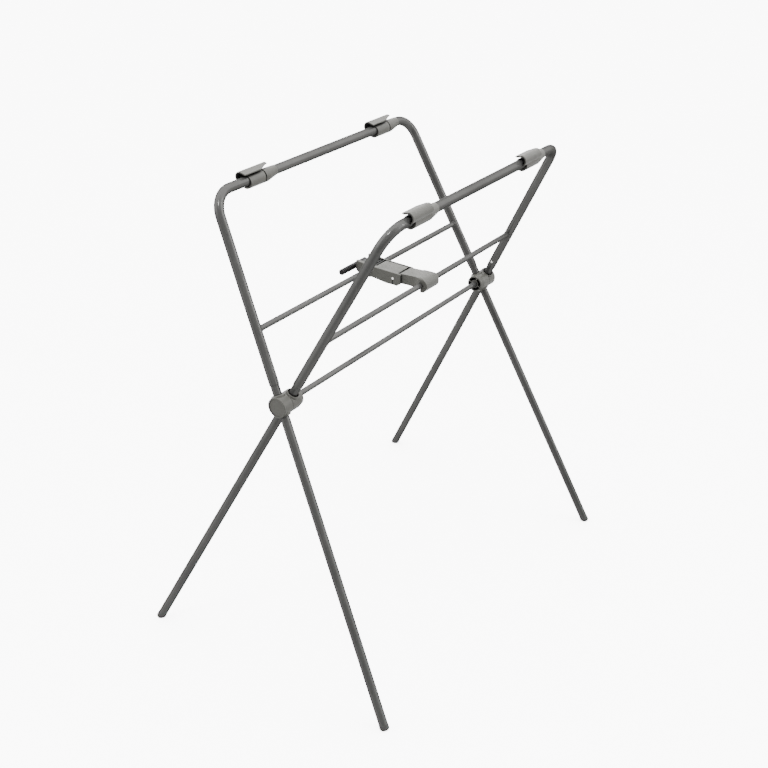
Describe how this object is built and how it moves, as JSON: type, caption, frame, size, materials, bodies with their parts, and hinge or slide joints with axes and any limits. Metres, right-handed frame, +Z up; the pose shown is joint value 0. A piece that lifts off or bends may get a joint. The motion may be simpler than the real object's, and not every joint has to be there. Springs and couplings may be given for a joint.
{
  "type": "bath tub stand",
  "caption": "Folding stand of crossed tube frames on one axle, with a centre latch and hooked rim clips that carry a baby bath tub at waist height.",
  "frame": {"origin": "centre of the footprint on the floor", "axes": "+Z up, X along the axle and the top bars, Y across the stand from one frame's feet to the other's"},
  "size_m": [0.9275, 0.5984, 0.9573],
  "materials": {
    "tube_paint": "satin, fine texture",
    "grey_plastic": "matte moulded",
    "black_plastic": "matte moulded",
    "rubber": "matte",
    "foot_rubber": "matte",
    "steel": "zinc plated",
    "nylon": "plain",
    "insert_plastic": "plain"
  },
  "bodies": {
    "frame_a": {"axle_insert_left": "insert_plastic", "axle_insert_right": "insert_plastic", "axle_tube": "tube_paint", "button_springs_a": "steel", "clip_liner_a_left": "rubber", "clip_liner_a_right": "rubber", "cross_bar_a": "tube_paint", "foot_a_left": "foot_rubber", "foot_a_right": "foot_rubber", "hub_cap_left": "grey_plastic", "knuckle_a_left": "grey_plastic", "knuckle_a_right": "grey_plastic", "lower_leg_a_left": "tube_paint", "lower_leg_a_right": "tube_paint", "pivot_bolt_left": "steel", "pivot_bolt_right": "steel", "pivot_washer_left": "nylon", "pivot_washer_right": "nylon", "rim_clip_a_left": "grey_plastic", "rim_clip_a_right": "grey_plastic", "upper_frame_a": "tube_paint", "welds_a": "tube_paint"},
    "frame_b": {"button_springs_b": "steel", "clip_liner_b_left": "rubber", "clip_liner_b_right": "rubber", "cross_bar_b": "tube_paint", "foot_b_left": "foot_rubber", "foot_b_right": "foot_rubber", "hub_cap_right": "grey_plastic", "knuckle_b_left": "grey_plastic", "knuckle_b_right": "grey_plastic", "lower_leg_b_left": "tube_paint", "lower_leg_b_right": "tube_paint", "rim_clip_b_left": "grey_plastic", "rim_clip_b_right": "grey_plastic", "upper_frame_b": "tube_paint", "welds_b": "tube_paint"},
    "latch_housing": {"latch_clamp_cap": "grey_plastic", "latch_housing": "grey_plastic", "latch_rivets": "steel", "latch_screws": "steel", "lever_pin": "steel", "lever_spring": "steel"},
    "latch_hook_arm": {"latch_hook_arm": "grey_plastic"},
    "release_lever": {"release_lever": "black_plastic"},
    "button_a_left": {"snap_button_a_left": "steel"},
    "button_a_right": {"snap_button_a_right": "steel"},
    "button_b_left": {"snap_button_b_left": "steel"},
    "button_b_right": {"snap_button_b_right": "steel"}
  },
  "joints": [
    {"name": "fold", "type": "hinge", "parent": "frame_a", "child": "frame_b", "pos_m": [-0.00918, 0, 0.579], "axis": [-1, 0, 0], "range_deg": [0, 37]},
    {"name": "latch_rear_hinge", "type": "hinge", "parent": "frame_a", "child": "latch_housing", "pos_m": [-0.00918, 0.06486, 0.70813], "axis": [-1, 0, 0], "range_deg": [0, 90.04]},
    {"name": "latch_front_hinge", "type": "hinge", "parent": "frame_b", "child": "latch_hook_arm", "pos_m": [-0.00918, -0.06486, 0.70813], "axis": [1, 0, 0], "range_deg": [0, 90.04]},
    {"name": "lever_hinge", "type": "hinge", "parent": "latch_housing", "child": "release_lever", "pos_m": [-0.00918, 0.0805, 0.713], "axis": [-1, 0, 0], "range_deg": [0, 4], "stiffness_Nm_per_rad": 0.3},
    {"name": "button_press_a_left", "type": "slide", "parent": "frame_a", "child": "button_a_left", "axis": [-0.9942, 0.0481, 0.0957], "range_m": [0, 0.0025], "stiffness_N_per_m": 600},
    {"name": "button_press_a_right", "type": "slide", "parent": "frame_a", "child": "button_a_right", "axis": [0.9942, 0.0481, 0.0957], "range_m": [0, 0.0025], "stiffness_N_per_m": 600},
    {"name": "button_press_b_left", "type": "slide", "parent": "frame_b", "child": "button_b_left", "axis": [-0.9909, -0.0605, 0.1205], "range_m": [0, 0.0025], "stiffness_N_per_m": 600},
    {"name": "button_press_b_right", "type": "slide", "parent": "frame_b", "child": "button_b_right", "axis": [0.9909, -0.0605, 0.1205], "range_m": [0, 0.0025], "stiffness_N_per_m": 600}
  ],
  "couplings": [
    {"joint": "latch_rear_hinge", "follows": "fold", "ratio": 2.4335},
    {"joint": "latch_front_hinge", "follows": "fold", "ratio": 2.4335}
  ]
}
